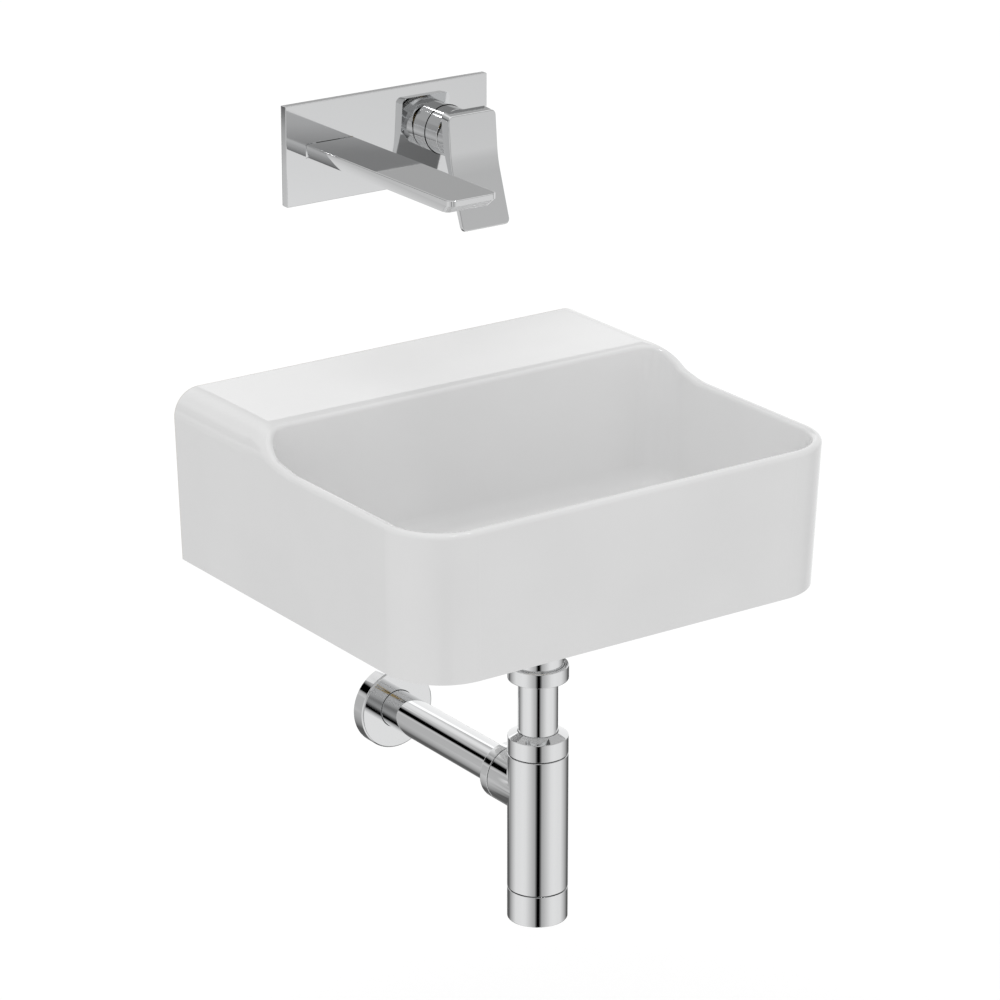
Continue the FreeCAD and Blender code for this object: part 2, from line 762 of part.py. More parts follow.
def make_plug():
    """Push plug: its cap and spindle rise and fall in a click cartridge screwed into the bridge."""
    closed = FLANGE_TOP + " + plug_seat_gap + plug_seal_thick"
    low = closed + " + plug_travel"
    edge = low + " + plug_edge_thick"
    crown = edge + " + plug_crown"
    boss_low = low + " - plug_seal_thick"
    socket = boss_low + " - 2"
    cap = turned_piece("plug_cap", [
        ("0", low + " - 1"), ("spindle_radius", low + " - 1"), ("spindle_radius", socket),
        ("plug_boss", socket),
        ("plug_boss", boss_low), ("plug_seal_inner", boss_low), ("plug_seal_inner", low),
        ("plug_radius", low),
        ("plug_radius", edge), ("plug_radius * 0.7", edge + " + plug_crown * 0.6"),
        ("plug_radius * 0.35", edge + " + plug_crown * 0.9"), ("0", crown)],
        [("plug_radius", edge)], "plug_edge_thick / 4")
    on_drain(cap)
    on_drain(turned_piece("plug_seal", ring_points("plug_seal_inner", "plug_seal_radius", boss_low, low),
                          [("plug_seal_radius", boss_low)], "plug_seal_thick / 3"))
    bridge_low = FLANGE_TOP + " - bridge_depth"
    bridge_high = bridge_low + " + bridge_thick"
    click_top = bridge_high + " + click_above"
    click_floor = bridge_low + " + click_wall"
    bore = "click_radius - click_wall"
    on_drain(turned_piece("plug_spindle", [
        ("0", click_floor + " + plug_travel + 2"),
        (bore + " - spindle_fit", click_floor + " + plug_travel + 2"),
        (bore + " - spindle_fit", click_floor + " + plug_travel + 5"),
        ("spindle_radius - 1", click_floor + " + plug_travel + 5"),
        ("spindle_radius - 1", click_top + " + plug_travel + plug_seat_gap"),
        ("spindle_radius", click_top + " + plug_travel + plug_seat_gap"),
        ("spindle_radius", low + " - 1"), ("0", low + " - 1")]))
    lip = "spindle_radius - 1 + spindle_fit"
    on_drain(turned_piece("click_cartridge", [
        ("0", bridge_low), ("click_radius", bridge_low), ("click_radius", bridge_high),
        ("bridge_hub", bridge_high), ("bridge_hub", bridge_high + " + 2"),
        ("click_radius", bridge_high + " + 2"),
        ("click_radius", click_top), (lip, click_top), (lip, click_top + " - click_wall"),
        (bore, click_top + " - click_wall"), (bore, click_floor), ("0", click_floor)]))
    on_drain(turned_piece("plug_spring", ring_points(
        bore + " - spring_thick - fit_gap", bore + " - fit_gap", click_floor,
        click_floor + " + plug_travel + 2")))


def make_trap():
    """Bottle trap: inlet nut, dip tube, cap, bottle with side branch, and the cup that unscrews."""
    nut_top = drop("nut_top_drop")
    nut_low = nut_top + " - nut_high"
    hole = "tube_radius + tube_fit"
    thread = "tail_radius + thread_fit"
    shoulder = nut_low + " + nut_floor"
    tube_flange = TAIL_END + " - inlet_washer_thick"
    on_drain(turned_piece("trap_inlet_nut", [
        (hole, nut_low), ("nut_radius", nut_low), ("nut_radius", nut_top), (thread, nut_top),
        (thread, shoulder), (hole, shoulder)], [("nut_radius", nut_low),
                                                ("nut_radius", nut_top)], "cup_edge"))
    on_drain(turned_piece("trap_inlet_washer", ring_points(
        "tube_radius", "tail_radius", tube_flange, TAIL_END)))
    tube_in = "tube_radius - tube_wall"
    tube_low = drop("dip_end_drop")
    on_drain(turned_piece("trap_dip_tube", [
        (tube_in, tube_low), ("tube_radius", tube_low), ("tube_radius", tube_flange + " - tube_flange_thick"),
        ("tail_radius", tube_flange + " - tube_flange_thick"), ("tail_radius", tube_flange),
        (tube_in, tube_flange)]))

    cap_top = drop("cap_top_drop")
    cap_low = drop("cap_joint_drop")
    cap_shoulder = cap_top + " - cap_rise"
    neck_out = "nut_radius - neck_step"
    cap_thread = neck_out + " + thread_fit"
    cap_roof = cap_shoulder + " - cap_wall"
    on_drain(turned_piece("trap_top_cap", [
        (hole, cap_roof), (hole, cap_top), ("nut_radius", cap_shoulder), ("nut_radius", cap_low),
        (cap_thread, cap_low), (cap_thread, cap_roof)]))
    neck_top = cap_low + " + cap_neck"
    bore = "nut_radius - bottle_wall - neck_step"
    ring_low = cap_roof + " - cap_ring_high"
    on_drain(turned_piece("trap_cap_ring", ring_points(hole, neck_out, ring_low, cap_roof)))
    on_drain(turned_piece("trap_cap_seal", ring_points("tube_radius", neck_out, neck_top, ring_low)))

    cup_top = drop("cup_joint_drop")
    arm = drop("arm_drop")
    bottle_top = cap_low + " - joint_gap"
    shell = new_body("bottle_shell")
    revolve(shell, [(bore, cup_top), ("nut_radius", cup_top), ("nut_radius", bottle_top),
                    (neck_out, bottle_top),
                    (neck_out, neck_top), (bore, neck_top)])
    on_drain(shell)
    branch = new_body("bottle_branch")
    joint = "arm_joint"
    neck = "arm_radius - arm_neck_step"
    revolve(branch, [("0", "-drain_from_wall"), ("arm_radius", "-drain_from_wall"),
                     ("arm_radius", "-" + joint),
                     (neck, "-" + joint), (neck, "-%s + arm_neck" % joint), ("0", "-%s + arm_neck" % joint)])
    way = new_body("bottle_branch_way")
    revolve(way, [("0", "-drain_from_wall"), (neck + " - bottle_wall", "-drain_from_wall"),
                  (neck + " - bottle_wall", "-%s + arm_neck + 1" % joint),
                  ("0", "-%s + arm_neck + 1" % joint)])
    core = new_body("bottle_core")
    revolve(core, [("0", cup_top), (bore, cup_top), (bore, bottle_top), ("0", bottle_top)])
    on_drain(core)
    for body in (branch, way):
        place(body, "0", "0", arm, Rotation(Vector(1, 0, 0), -90))
    solid = combine("Part::Fuse", "bottle_solid", shell, [branch])
    keep(combine("Part::Cut", "trap_bottle", solid, [core, way]), "trap_bottle")

    cup_floor = drop("cup_floor_drop")
    cup_face = cup_top + " - joint_gap"
    spigot = bore + " - thread_fit"
    groove = cup_top + " + cup_neck / 2"
    on_drain(turned_piece("trap_cup", [
        ("0", cup_floor), ("nut_radius", cup_floor), ("nut_radius", cup_face), (spigot, cup_face),
        (spigot, groove), (spigot + " - 1", groove), (spigot + " - 1", groove + " + cup_seal_high"),
        (spigot, groove + " + cup_seal_high"), (spigot, cup_top + " + cup_neck"),
        (spigot + " - cup_wall", cup_top + " + cup_neck"),
        (spigot + " - cup_wall", cup_floor + " + cup_wall"),
        ("0", cup_floor + " + cup_wall")], [("nut_radius", cup_floor)], "cup_edge"))
    on_drain(turned_piece("cup_seal", ring_points(
        spigot + " - 1 + fit_gap", spigot + " + fit_gap", groove + " + fit_gap",
        groove + " + cup_seal_high - fit_gap")))


def along_wall_normal(body, height):
    """Sets a turned piece on an axis that runs out of the wall at X = 0."""
    place(body, "0", "0", height, WALL_OUT)
    return body


def make_outlet():
    """Outlet tube from the branch into the wall, its nut and seal, and the flange that slides on it."""
    arm = drop("arm_drop")
    hole = "tube_radius + tube_fit"
    thread = "arm_radius - arm_neck_step + thread_fit"
    nut_near = "arm_joint - joint_gap"
    neck_end = "arm_joint - arm_neck"
    inner = "arm_nut_end + arm_nut_floor"
    along_wall_normal(turned_piece("trap_arm_nut", [
        (hole, "arm_nut_end"), ("arm_radius", "arm_nut_end"), ("arm_radius", nut_near), (thread, nut_near),
        (thread, inner), (hole, inner)], [("arm_radius", "arm_nut_end")], "cup_edge * 2"), arm)
    along_wall_normal(turned_piece("trap_arm_seal", ring_points(
        "tube_radius", "arm_radius - arm_neck_step", inner, neck_end)), arm)
    inside = "tube_radius - tube_wall"
    marked = "tube_radius - tube_mark / 2"
    along_wall_normal(turned_piece("outlet_tube", [
        (inside, "-outlet_in_wall"), ("tube_radius", "-outlet_in_wall"), ("tube_radius", "-tube_mark"),
        (marked, "-tube_mark"), (marked, "0"), ("tube_radius", "0"),
        ("tube_radius", "outlet_from_wall"), (inside, "outlet_from_wall")]), arm)
    face = "wall_flange_thick"
    back = "wall_flange_thick - wall_flange_wall"
    groove = "tube_radius + grip_ring_wide"
    along_wall_normal(turned_piece("wall_flange", [
        (groove, back + " - grip_ring_high"), (groove, back), (hole, back), (hole, face),
        ("wall_flange_radius", face), ("wall_flange_radius", "0"),
        ("wall_flange_radius - wall_flange_wall", "0"), ("wall_flange_radius - wall_flange_wall", back),
        (groove + " + wall_flange_wall", back), (groove + " + wall_flange_wall", back + " - grip_ring_high")],
        [("wall_flange_radius", face)], "wall_flange_edge"), arm)
    along_wall_normal(turned_piece("flange_grip_ring", ring_points(
        "tube_radius + pin_fit", groove, back + " - grip_ring_high", back)), arm)


TAP = "stud_drop + tap_axis"


def tap_piece(label, shapes, low, high, side="0"):
    """A padded piece of the tap: outlines seen from the front, levels measured out of the wall."""
    body = new_body(label)
    extrude(body, shapes, low, high)
    place(body, side, "0", TAP, WALL_OUT)
    return body


def frame_points(width, high):
    return box_points("-(%s) / 2" % width, "(%s) / 2" % width, "-(%s) / 2" % high, "(%s) / 2" % high)


def spout_hole(gap="spout_fit"):
    low = "spout_rise - spout_thick - " + gap
    return box_points("-spout_side - spout_width / 2 - " + gap, "-spout_side + spout_width / 2 + " + gap,
                      low, "spout_rise + " + gap)


def make_plate():
    """The wall plate is a shallow tray with a gasket behind its border and two holes."""
    back = "gasket_thick"
    plate = tap_piece("tap_plate", [frame_points("plate_width", "plate_high")], back, "plate_front")
    extrude(plate, [frame_points("plate_width - 2 * plate_wall", "plate_high - 2 * plate_wall")],
            back, "plate_front - plate_wall", cut=True)
    holes = [spout_hole(), ("spout_side", "0", "sleeve_radius + ring_gap")]
    extrude(plate, holes, back, "plate_front + 1", cut=True)
    front = value("plate_front")
    edge_x = value("plate_width / 2")
    edge_y = value("plate_high / 2")

    def border(edge):
        middle = edge.CenterOfMass
        outer = abs(abs(middle.x) - edge_x) < 0.01 or abs(abs(middle.y) - edge_y) < 0.01
        return outer and at_level(edge, 2, front)

    soften(plate, border, "plate_edge")
    keep(plate, "tap_plate")
    inner_wide = "plate_width - 2 * gasket_width"
    gasket = tap_piece("plate_gasket", [frame_points("plate_width - 1", "plate_high - 1"),
                                        frame_points(inner_wide, "plate_high - 2 * gasket_width")], "0", back)
    keep(gasket, "plate_gasket")
    ring = turned_piece("sleeve_ring", ring_points(
        "sleeve_radius + pin_fit", "sleeve_radius + ring_width", "plate_front - plate_wall - ring_depth",
        "plate_front - plate_wall"))
    place(ring, "spout_side", "0", TAP, WALL_OUT)


def make_spout():
    """Flat spout: a thin lip over a narrower hull, a round root behind the plate and a hidden channel."""
    lip = new_body("spout_lip")
    half = "spout_width / 2"
    extrude(lip, [box_points("-" + half, half, "0", "spout_reach")], "-spout_lip", "0")
    tip = value("spout_reach")
    soften(lip, lambda edge: runs_along(edge, 2) and at_level(edge, 1, tip), "spout_corner")
    soften(lip, lambda edge: at_level(edge, 2, 0) and not at_level(edge, 1, 0), "spout_edge")

    hull = new_body("spout_hull")
    top = new_sketch(hull, "XY_Plane", "-spout_lip")
    draw(top, box_points("-%s" % half, half, "0", "spout_reach - 1"))
    inset = "%s - spout_hull_inset" % half
    bottom = new_sketch(hull, "XY_Plane", "-spout_thick")
    draw(bottom, box_points("-(%s)" % inset, inset, "0", "spout_reach - spout_nose_length"))
    loft = hull.newObject("PartDesign::AdditiveLoft", "hull_loft")
    loft.Profile = top
    loft.Sections = [bottom]
    loft.Ruled = True
    doc.recompute()
    soften(hull, lambda edge: edge.BoundBox.YMin > value("spout_reach - spout_nose_length") - 1
           and edge.BoundBox.ZLength > 1, "spout_corner - 1")

    forward = Rotation(Vector(1, 0, 0), -90)
    root = rod("spout_root_solid", "spout_boss", "spout_root + plate_front - plate_wall - fit_gap",
               "0", "-spout_root", "-spout_rise", forward)
    body = doc.addObject("Part::MultiFuse", "spout_solid")
    body.Shapes = [lip, hull, root]
    body.Refine = False
    doc.recompute()

    socket = rod("spout_socket", "nipple_radius + chamber_fit", "spout_root + nipple_front + fit_gap",
                 "0", "-spout_root", "-spout_rise", forward)
    channel = doc.addObject("Part::Box", "spout_channel")
    bind(channel, Length="channel_width", Width="aerator_from_wall", Height="channel_high")
    place(channel, "-channel_width / 2", "0", "-spout_thick / 2 - channel_high / 2")
    well = rod("aerator_well", "aerator_radius", "aerator_high + 1",
               "0", "aerator_from_wall", "-spout_thick - 1")
    spout = combine("Part::Cut", "spout", body, [socket, channel, well])
    place(spout, "-spout_side", "0", TAP + " + spout_rise", Rotation(Vector(0, 0, 1), 180))
    keep(spout, "spout")


def make_aerator():
    """Aerator screwed up into the spout: ring, seal above it and a slotted insert."""
    low = "-spout_thick - aerator_show"
    top = "-spout_thick + aerator_high - aerator_seal_thick"
    inner = "aerator_radius - thread_fit - aerator_wall"
    ring = turned_piece("aerator_housing", ring_points(inner, "aerator_radius - thread_fit", low, top),
                        [("aerator_radius - thread_fit", low)], "aerator_show / 2")
    seal = turned_piece("aerator_seal", ring_points(inner, "aerator_radius - fit_gap", top,
                                                    "-spout_thick + aerator_high"))
    insert = new_body("aerator_insert")
    extrude(insert, [("0", "0", inner)], low + " + aerator_show / 2", top)
    slot = []
    for step in range(-4, 5):
        low_side = "(%d - 0.3) * aerator_slots" % step
        high_side = "(%d + 0.3) * aerator_slots" % step
        slot.append(box_points("-aerator_radius / 2", "aerator_radius / 2", low_side, high_side))
    extrude(insert, slot, low + " - 1", top + " + 1", cut=True)
    keep(insert, "aerator_insert")
    for piece in (ring, seal, insert):
        place(piece, "-spout_side", "-aerator_from_wall", TAP + " + spout_rise")


def on_lever(body):
    place(body, "spout_side", "0", TAP, WALL_OUT)
    return body


def make_lever():
    """Bent plate lever with a round hub whose back is cut away above so that it can tilt."""
    blade = new_body("lever_blade")
    sketch = new_sketch(blade, "YZ_Plane", "-lever_width / 2")
    draw(sketch, [("lever_top", "lever_top_out"), ("-lever_bend", "lever_bend_out"),
                  ("-lever_bottom", "lever_tip_out"), ("-lever_bottom - lever_tip_drop", "lever_tip_back"),
                  ("-lever_back_bend", "lever_back_bend_out"),
                  ("lever_top + lever_tip_drop", "lever_back_out")])
    pad = blade.newObject("PartDesign::Pad", "lever_pad")
    pad.Profile = sketch
    pad.Type = "Length"
    bind(pad, Length="lever_width")
    doc.recompute()
    bends = [(value("-lever_bend"), value("lever_bend_out")),
             (value("-lever_back_bend"), value("lever_back_bend_out"))]

    def bend(edge):
        middle = edge.CenterOfMass
        near = [abs(middle.y - up) < 0.1 and abs(middle.z - out) < 0.1 for up, out in bends]
        return runs_along(edge, 0) and any(near)

    soften(blade, bend, "lever_bend_round")
    top = value("lever_top")
    bottom = value("-lever_bottom")

    def end_corner(edge):
        box = edge.BoundBox
        return box.XLength < 0.01 and (box.YMin > top - 0.01 or box.YMax < bottom + 0.01)

    soften(blade, end_corner, "lever_corner")
    inward = value("lever_back_out")

    def front_outline(edge):
        box = edge.BoundBox
        spot = edge.CenterOfMass
        lean = value("(lever_tip_out - lever_bend_out) / (lever_bottom - lever_bend)")
        low_face = value("lever_bend_out") + (-value("lever_bend") - spot.y) * lean
        high_face = value("lever_bend_out") - (spot.y + value("lever_bend")) * (
            value("lever_bend_out") - value("lever_top_out")) / (value("lever_top") + value("lever_bend"))
        return spot.z > max(low_face, high_face) - 1.2 and not (runs_along(edge, 0) and box.XLength < 1) \
            and box.ZMin > inward and on_border(edge)

    def on_border(edge):
        box = edge.BoundBox
        side = value("lever_width / 2") - value("lever_corner") - 0.01
        ends = box.YMin > top - value("lever_corner") - 0.5 or box.YMax < bottom + value("lever_corner") + 0.5
        return abs(edge.CenterOfMass.x) > side or ends

    soften(blade, front_outline, "lever_edge")

    start = "sleeve_front + hub_gap"
    hub = rod("lever_hub", "sleeve_radius", "lever_back_bend_out + 1.5 - (%s)" % start, "0", "0", start)
    hollow = rod("lever_hollow", "hub_bore", "lever_back_out + 1 - (%s)" % start, "0", "0", start)
    relief = doc.addObject("Part::Box", "lever_relief")
    bind(relief, Length="4 * sleeve_radius", Width="3 * sleeve_radius", Height="2 * sleeve_radius")
    tilt = Rotation(Vector(1, 0, 0), value("lift_limit"))
    relief.Placement = Placement(Vector(value("-2 * sleeve_radius"), 0, 0), tilt)
    depth = "2 * sleeve_radius"
    bind(relief, Placement__Base__x="-2 * sleeve_radius",
         Placement__Base__y="%s * sin(lift_limit)" % depth,
         Placement__Base__z="%s - %s * cos(lift_limit)" % (start, depth),
         Placement__Rotation__Angle="lift_limit")
    rim = combine("Part::Cut", "lever_rim", hub, [hollow, relief])
    socket = rod("lever_socket", "socket_radius", "lever_back_out + 2.5 - socket_out", "0", "0", "socket_out")
    solid = doc.addObject("Part::MultiFuse", "lever_solid")
    solid.Shapes = [blade, rim, socket]
    doc.recompute()
    square = new_body("lever_square")
    side = "spindle_side + 2 * fit_gap"
    extrude(square, [frame_points(side, side)], "socket_out - 1", "spindle_end_out + fit_gap")
    screw_way = rod("grub_way", "grub_radius", "sleeve_radius + 2",
                    "0", "-sleeve_radius - 2", "grub_out", Rotation(Vector(1, 0, 0), -90))
    lever = combine("Part::Cut", "lever_handle", solid, [square, screw_way])
    on_lever(lever)
    keep(lever, "lever_handle")
    grub = turned_piece("handle_screw", [("0", "0"), ("grub_radius - fit_gap", "0"),
                                         ("grub_radius - fit_gap", "grub_long"), ("0", "grub_long")])
    place(grub, "spout_side", "-grub_out", TAP + " - spindle_side / 2 - grub_long")


def make_cartridge():
    """Mixing cartridge: housing, base, carrier, spindle on its pin, two discs and base seals."""
    on_lever(turned_piece("cartridge_housing", [
        ("housing_neck", "housing_shoulder"), ("housing_neck", "housing_front"),
        ("carrier_radius + fit_gap", "housing_front"),
        ("carrier_radius + fit_gap", "carrier_back - disc_gap"),
        ("fixed_disc_radius + fit_gap", "carrier_back - disc_gap"), ("fixed_disc_radius + fit_gap", "0"),
        ("housing_radius", "0"), ("housing_radius", "housing_shoulder")]))
    base = new_body("cartridge_base")
    extrude(base, [("0", "0", "housing_radius")], "-base_back", "0")
    ports = [("-port_spread", "-port_spread / 2"), ("port_spread", "-port_spread / 2"), ("0", "port_spread")]
    holes = [(across, up, "port_radius") for across, up in ports]
    extrude(base, holes, "-base_back - 1", "1", cut=True)
    extrude(base, [(across, up, "seal_radius") for across, up in ports], "-base_back - 1",
            "-base_back + seal_thick / 2", cut=True)
    on_lever(keep(base, "cartridge_base"))
    fixed = new_body("fixed_disc")
    extrude(fixed, [("0", "0", "fixed_disc_radius")] + holes, "0", "fixed_disc_thick")
    on_lever(keep(fixed, "fixed_disc"))
    seals = []
    for number, (across, up) in enumerate(ports):
        seal = new_body("base_seal_%d" % number)
        extrude(seal, [(across, up, "port_radius"), (across, up, "seal_radius")],
                "-base_back - seal_thick / 2", "-base_back + seal_thick / 2")
        seals.append(on_lever(seal))
    pair_up("cartridge_seals", seals)

    disc_low = "fixed_disc_thick + disc_gap / 2"
    on_lever(turned_piece("moving_disc", [
        ("0", disc_low), ("moving_disc_radius", disc_low),
        ("moving_disc_radius", "fixed_disc_thick + moving_disc_thick"),
        ("disc_socket", "fixed_disc_thick + moving_disc_thick"), ("disc_socket", disc_low + " + 1"),
        ("0", disc_low + " + 1")]))

    carrier = new_body("carrier_block")
    extrude(carrier, [("0", "0", "carrier_radius")], "carrier_back", "carrier_front")
    slot = "spindle_side / 2 + fit_gap"
    high = "carrier_radius - 1.2"
    extrude(carrier, [box_points("-(%s)" % slot, slot, "-(%s)" % high, high)],
            "carrier_back - 1", "carrier_front + 1", cut=True)
    sideways = Rotation(Vector(0, 1, 0), 90)
    pin_hole = rod("carrier_pin_hole", "pin_radius", "2 * carrier_radius",
                   "-carrier_radius", "0", "pivot_out", sideways)
    on_lever(keep(combine("Part::Cut", "cartridge_carrier", carrier, [pin_hole]), "cartridge_carrier"))
    keep(rod("carrier_pin", "pin_radius", "2 * carrier_radius - 2",
             "spout_side - carrier_radius + 1", "-pivot_out", TAP, sideways), "carrier_pin")

    bar = new_body("spindle_bar")
    extrude(bar, [frame_points("spindle_side", "spindle_side")],
            "pivot_out - spindle_side / 2", "spindle_end_out")
    stem = rod("spindle_stem", "spindle_ball / 1.6", "pivot_out - ball_out", "0", "0", "ball_out")
    ball = doc.addObject("Part::Sphere", "spindle_ball_end")
    bind(ball, Radius="spindle_ball - fit_gap")
    place(ball, "0", "0", "ball_out + spindle_ball / 2")
    whole = doc.addObject("Part::MultiFuse", "spindle_solid")
    whole.Shapes = [bar, stem, ball]
    eye = rod("spindle_eye", "pin_radius + pin_fit", "2 * spindle_side",
              "-spindle_side", "0", "pivot_out", sideways)
    on_lever(keep(combine("Part::Cut", "cartridge_spindle", whole, [eye]), "cartridge_spindle"))

    outer = "housing_radius + chamber_fit - fit_gap"
    on_lever(turned_piece("cartridge_nut", [
        ("cartridge_nut_bore", "housing_shoulder"), (outer, "housing_shoulder"), (outer, "neck_front + 2"),
        ("cartridge_nut_bore + 1", "cartridge_nut_front"), ("cartridge_nut_bore", "cartridge_nut_front")]))
    inner = "sleeve_radius - sleeve_wall"
    on_lever(turned_piece("cartridge_sleeve", [
        (inner, "-sleeve_back"), ("sleeve_radius", "-sleeve_back"), ("sleeve_radius", "sleeve_front"),
        ("sleeve_radius - sleeve_lip", "sleeve_front"), ("sleeve_radius - sleeve_lip", "sleeve_front - 1"),
        (inner, "sleeve_front - 1")], [("sleeve_radius", "sleeve_front")], "pin_fit * 5"))


def make_valve():
    """In-wall brass body: cartridge chamber, two inlets from below and a cross tube to the spout's nipple."""
    back = "-base_back - seal_thick / 2"
    shell = new_body("valve_shell")
    revolve(shell, [("0", "-chamber_back"), ("chamber_radius", "-chamber_back"),
                    ("chamber_radius", "-chamber_front"),
                    ("neck_radius", "-chamber_front"), ("neck_radius", "neck_front"), ("0", "neck_front")])
    room = new_body("valve_room")
    revolve(room, ring_points("0", "housing_radius + chamber_fit", back, "neck_front + 1"))
    for body in (shell, room):
        on_lever(body)
    solids = [shell]
    spaces = [room]
    across_way = Rotation(Vector(0, 1, 0), 90)
    for side, sign in (("left", "-"), ("right", "+")):
        across = "spout_side %s inlet_spread" % sign
        port = "spout_side %s port_spread" % sign
        low = TAP + " - inlet_drop"
        port_level = TAP + " - port_spread / 2"
        start = across if side == "left" else port
        solids.append(rod("inlet_boss_" + side, "inlet_radius", "inlet_drop + port_spread",
                          across, "inlet_out", low))
        spaces += [
            rod("inlet_thread_" + side, "inlet_bore", "inlet_thread", across, "inlet_out", low),
            rod("inlet_feed_" + side, "feed_radius", "inlet_drop", across, "inlet_out", low),
            rod("inlet_reach_" + side, "port_radius * 1.1", "inlet_spread - port_spread",
                start, "passage_out", port_level, across_way),
            rod("inlet_port_" + side, "port_radius", "passage_out - base_back",
                port, "passage_out", port_level, WALL_OUT),
            rod("screw_seat_" + side, "screw_radius + pin_fit", "screw_long - bracket_thick + thread_fit",
                "spout_side", "chamber_back", TAP + " %s screw_spread" % sign, WALL_OUT)]
    way_level = TAP + " + port_spread"
    solids += [
        rod("cross_tube_solid", "cross_tube", "2 * spout_side", "-spout_side", "passage_out",
            way_level, across_way),
        rod("outlet_boss_solid", "outlet_boss", "outlet_boss_back - outlet_boss_front",
            "-spout_side", "outlet_boss_back", TAP, WALL_OUT)]
    spaces += [
        rod("cross_way", "feed_radius - 1", "2 * spout_side", "-spout_side", "passage_out",
            way_level, across_way),
        rod("mixed_port", "port_radius", "passage_out - base_back", "spout_side", "passage_out",
            way_level, WALL_OUT),
        rod("nipple_socket", "nipple_radius + fit_gap", "nipple_back - outlet_boss_front + 1",
            "-spout_side", "nipple_back", TAP, WALL_OUT),
        rod("nipple_well", "nipple_bore", "outlet_boss_back - outlet_boss_front",
            "-spout_side", "outlet_boss_back - 1", TAP, WALL_OUT)]
    body = doc.addObject("Part::MultiFuse", "valve_solid")
    body.Shapes = solids
    body.Refine = False
    doc.recompute()
    keep(combine("Part::Cut", "valve_body", body, spaces), "valve_body")

    nipple = turned_piece("spout_nipple", [
        ("nipple_bore", "-nipple_back"), ("nipple_radius", "-nipple_back"),
        ("nipple_radius", "-outlet_boss_front"),
        ("nipple_collar", "-outlet_boss_front"), ("nipple_collar", "-spout_root - nipple_seal_thick"),
        ("nipple_radius", "-spout_root - nipple_seal_thick"), ("nipple_radius", "nipple_front"),
        ("nipple_bore", "nipple_front")])
    seal = turned_piece("nipple_seal", ring_points(
        "nipple_radius", "nipple_collar", "-spout_root - nipple_seal_thick", "-spout_root"))
    for piece in (nipple, seal):
        place(piece, "-spout_side", "0", TAP, WALL_OUT)
    make_bracket()


def make_bracket():
    """Steel wall bracket behind the valve body with four wall holes, and the screws that hold the body."""
    back = "-chamber_back - bracket_thick"
    holes = [("spout_side", "%s screw_spread" % up, "screw_radius + thread_fit") for up in ("-", "0 +")]
    for side in ("-", "+"):
        for up in ("-", "+"):
            holes.append(("bracket_side %s bracket_holes_x / 2" % side,
                          "-bracket_holes_drop %s bracket_holes_z / 2" % up, "bracket_hole"))
    border = box_points("bracket_side - bracket_width / 2", "bracket_side + bracket_width / 2",
                        "-bracket_drop - bracket_high / 2", "-bracket_drop + bracket_high / 2")
    bracket = tap_piece("wall_bracket", [border] + holes, back, "-chamber_back")
    soften(bracket, lambda edge: runs_along(edge, 2), "bracket_corner")
    keep(bracket, "wall_bracket")
    screws = []
    for number, up in enumerate(("-", "+")):
        head_low = back + " - screw_head_high"
        screw = turned_piece("bracket_screw_%d" % number, [
            ("0", head_low), ("screw_head", head_low), ("screw_head", back), ("screw_radius", back),
            ("screw_radius", back + " + screw_long"), ("0", back + " + screw_long")])
        pieces.remove(screw)
        place(screw, "spout_side", "0", TAP + " %s screw_spread" % up, WALL_OUT)
        screws.append(screw)
    pair_up("bracket_screws", screws)


make_basin()
make_studs()
make_waste()
make_plug()
make_trap()
make_outlet()
make_plate()
make_spout()
make_aerator()
make_lever()
make_cartridge()
make_valve()
doc.recompute()

failed = [thing.Name for thing in doc.Objects if {"Invalid", "Error"} & set(thing.State)]
failed += [piece.Label for piece in pieces if piece.Shape.isNull() or not piece.Shape.isValid()]
if failed:
    raise ValueError("failed: " + ", ".join(failed))
os.makedirs("parts", exist_ok=True)
for piece in pieces:
    piece.Shape.exportStep(os.path.join("parts", piece.Label + ".step"))
print("wrote %d pieces" % len(pieces))
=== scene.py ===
import math

import bmesh
import bpy
from mathutils import Matrix, Vector


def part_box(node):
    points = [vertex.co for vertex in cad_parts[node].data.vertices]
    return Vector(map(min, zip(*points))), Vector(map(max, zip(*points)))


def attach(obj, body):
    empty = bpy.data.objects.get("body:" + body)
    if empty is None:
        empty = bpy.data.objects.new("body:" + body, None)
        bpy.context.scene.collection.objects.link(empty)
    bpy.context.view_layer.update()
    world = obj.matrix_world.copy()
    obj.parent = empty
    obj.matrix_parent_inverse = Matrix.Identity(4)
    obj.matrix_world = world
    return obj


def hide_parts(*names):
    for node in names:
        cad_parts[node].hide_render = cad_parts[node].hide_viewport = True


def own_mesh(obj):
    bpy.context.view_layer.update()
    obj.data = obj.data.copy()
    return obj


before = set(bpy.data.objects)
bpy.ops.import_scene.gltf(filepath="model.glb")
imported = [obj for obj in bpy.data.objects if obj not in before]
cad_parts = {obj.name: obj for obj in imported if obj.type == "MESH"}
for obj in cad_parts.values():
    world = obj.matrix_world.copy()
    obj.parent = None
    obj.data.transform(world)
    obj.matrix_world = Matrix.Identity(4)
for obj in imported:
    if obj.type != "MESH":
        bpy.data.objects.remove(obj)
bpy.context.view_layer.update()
print("frame loaded:", len(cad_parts), "nodes")


def linkObject(name, data):
    thing = bpy.data.objects.new(name, data)
    bpy.context.scene.collection.objects.link(thing)
    return thing


def finishShape(name, shape, material):
    # a finished bmesh as an object at the origin
    mesh = bpy.data.meshes.new(name)
    shape.to_mesh(mesh)
    shape.free()
    mesh.materials.append(material)
    return linkObject(name, mesh)


def newMaterial(name, settings):
    # a Principled material with its plain values set straight on the sockets
    material = bpy.data.materials.new(name)
    material.use_nodes = True
    shader = material.node_tree.nodes["Principled BSDF"]
    for socket, value in settings.items():
        shader.inputs[socket].default_value = value
    return material, material.node_tree, shader


